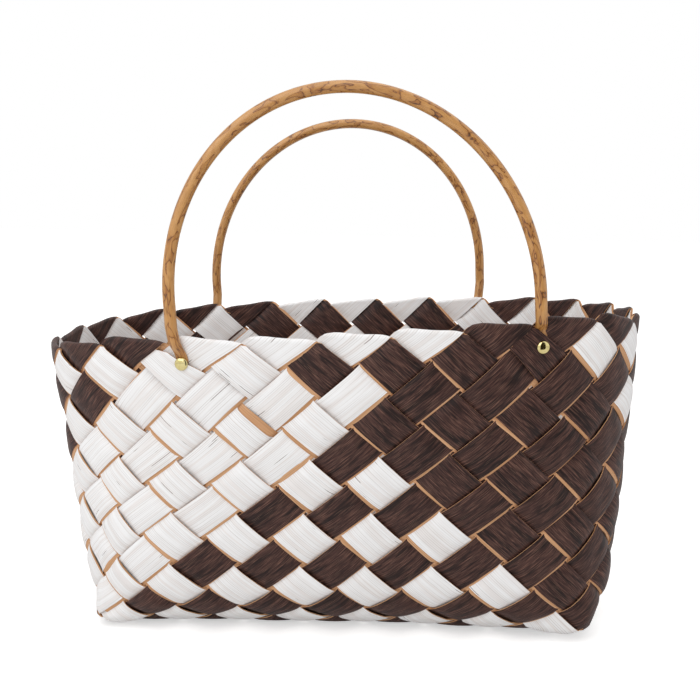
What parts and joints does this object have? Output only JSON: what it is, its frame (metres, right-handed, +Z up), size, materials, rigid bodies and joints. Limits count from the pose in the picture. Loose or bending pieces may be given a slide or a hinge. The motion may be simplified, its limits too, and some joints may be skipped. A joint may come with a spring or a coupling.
{
  "type": "woven strip tote basket",
  "caption": "Open oblong basket plaited on the bias from flat brown and white strips, with a riveted cane handle on each long side.",
  "frame": {"origin": "bottom centre of the basket's bounding box", "axes": "+X along the long side to the right seen from the front, +Y to the back, +Z up"},
  "size_m": [0.4432, 0.2426, 0.3897],
  "materials": {
    "white_veneer": "satin, fine grain along each strip",
    "brown_veneer": "satin, fine grain along each strip",
    "honey_cane": "varnished, with dark flame marks",
    "polished_brass": "polished"
  },
  "bodies": {
    "basket": {"brown_strip_01": "brown_veneer", "brown_strip_02": "brown_veneer", "brown_strip_03": "brown_veneer", "brown_strip_04": "brown_veneer", "brown_strip_05": "brown_veneer", "brown_strip_06": "brown_veneer", "brown_strip_07": "brown_veneer", "brown_strip_08": "brown_veneer", "brown_strip_09": "brown_veneer", "brown_strip_10": "brown_veneer", "brown_strip_11": "brown_veneer", "brown_strip_12": "brown_veneer", "handle_end_back_left": "honey_cane", "handle_end_back_right": "honey_cane", "handle_end_front_left": "honey_cane", "handle_end_front_right": "honey_cane", "rivet_back_left": "polished_brass", "rivet_back_right": "polished_brass", "rivet_front_left": "polished_brass", "rivet_front_right": "polished_brass", "washer_back_left": "polished_brass", "washer_back_right": "polished_brass", "washer_front_left": "polished_brass", "washer_front_right": "polished_brass", "white_strip_01": "white_veneer", "white_strip_02": "white_veneer", "white_strip_03": "white_veneer", "white_strip_04": "white_veneer", "white_strip_05": "white_veneer", "white_strip_06": "white_veneer", "white_strip_07": "white_veneer", "white_strip_08": "white_veneer", "white_strip_09": "white_veneer", "white_strip_10": "white_veneer", "white_strip_11": "white_veneer", "white_strip_12": "white_veneer"},
    "front_handle": {"front_handle_bow": "honey_cane"},
    "back_handle": {"back_handle_bow": "honey_cane"}
  },
  "joints": [
    {"name": "front_handle_tilt", "type": "hinge", "parent": "basket", "child": "front_handle", "pos_m": [0.00274, -0.11683, 0.23913], "axis": [-0.9978, -0.0023, -0.0668], "range_deg": [-15, 35], "stiffness_Nm_per_rad": 0.6},
    {"name": "back_handle_tilt", "type": "hinge", "parent": "basket", "child": "back_handle", "pos_m": [-0.00441, 0.11681, 0.23885], "axis": [0.9977, 0.009, 0.0669], "range_deg": [-15, 35], "stiffness_Nm_per_rad": 0.6}
  ]
}
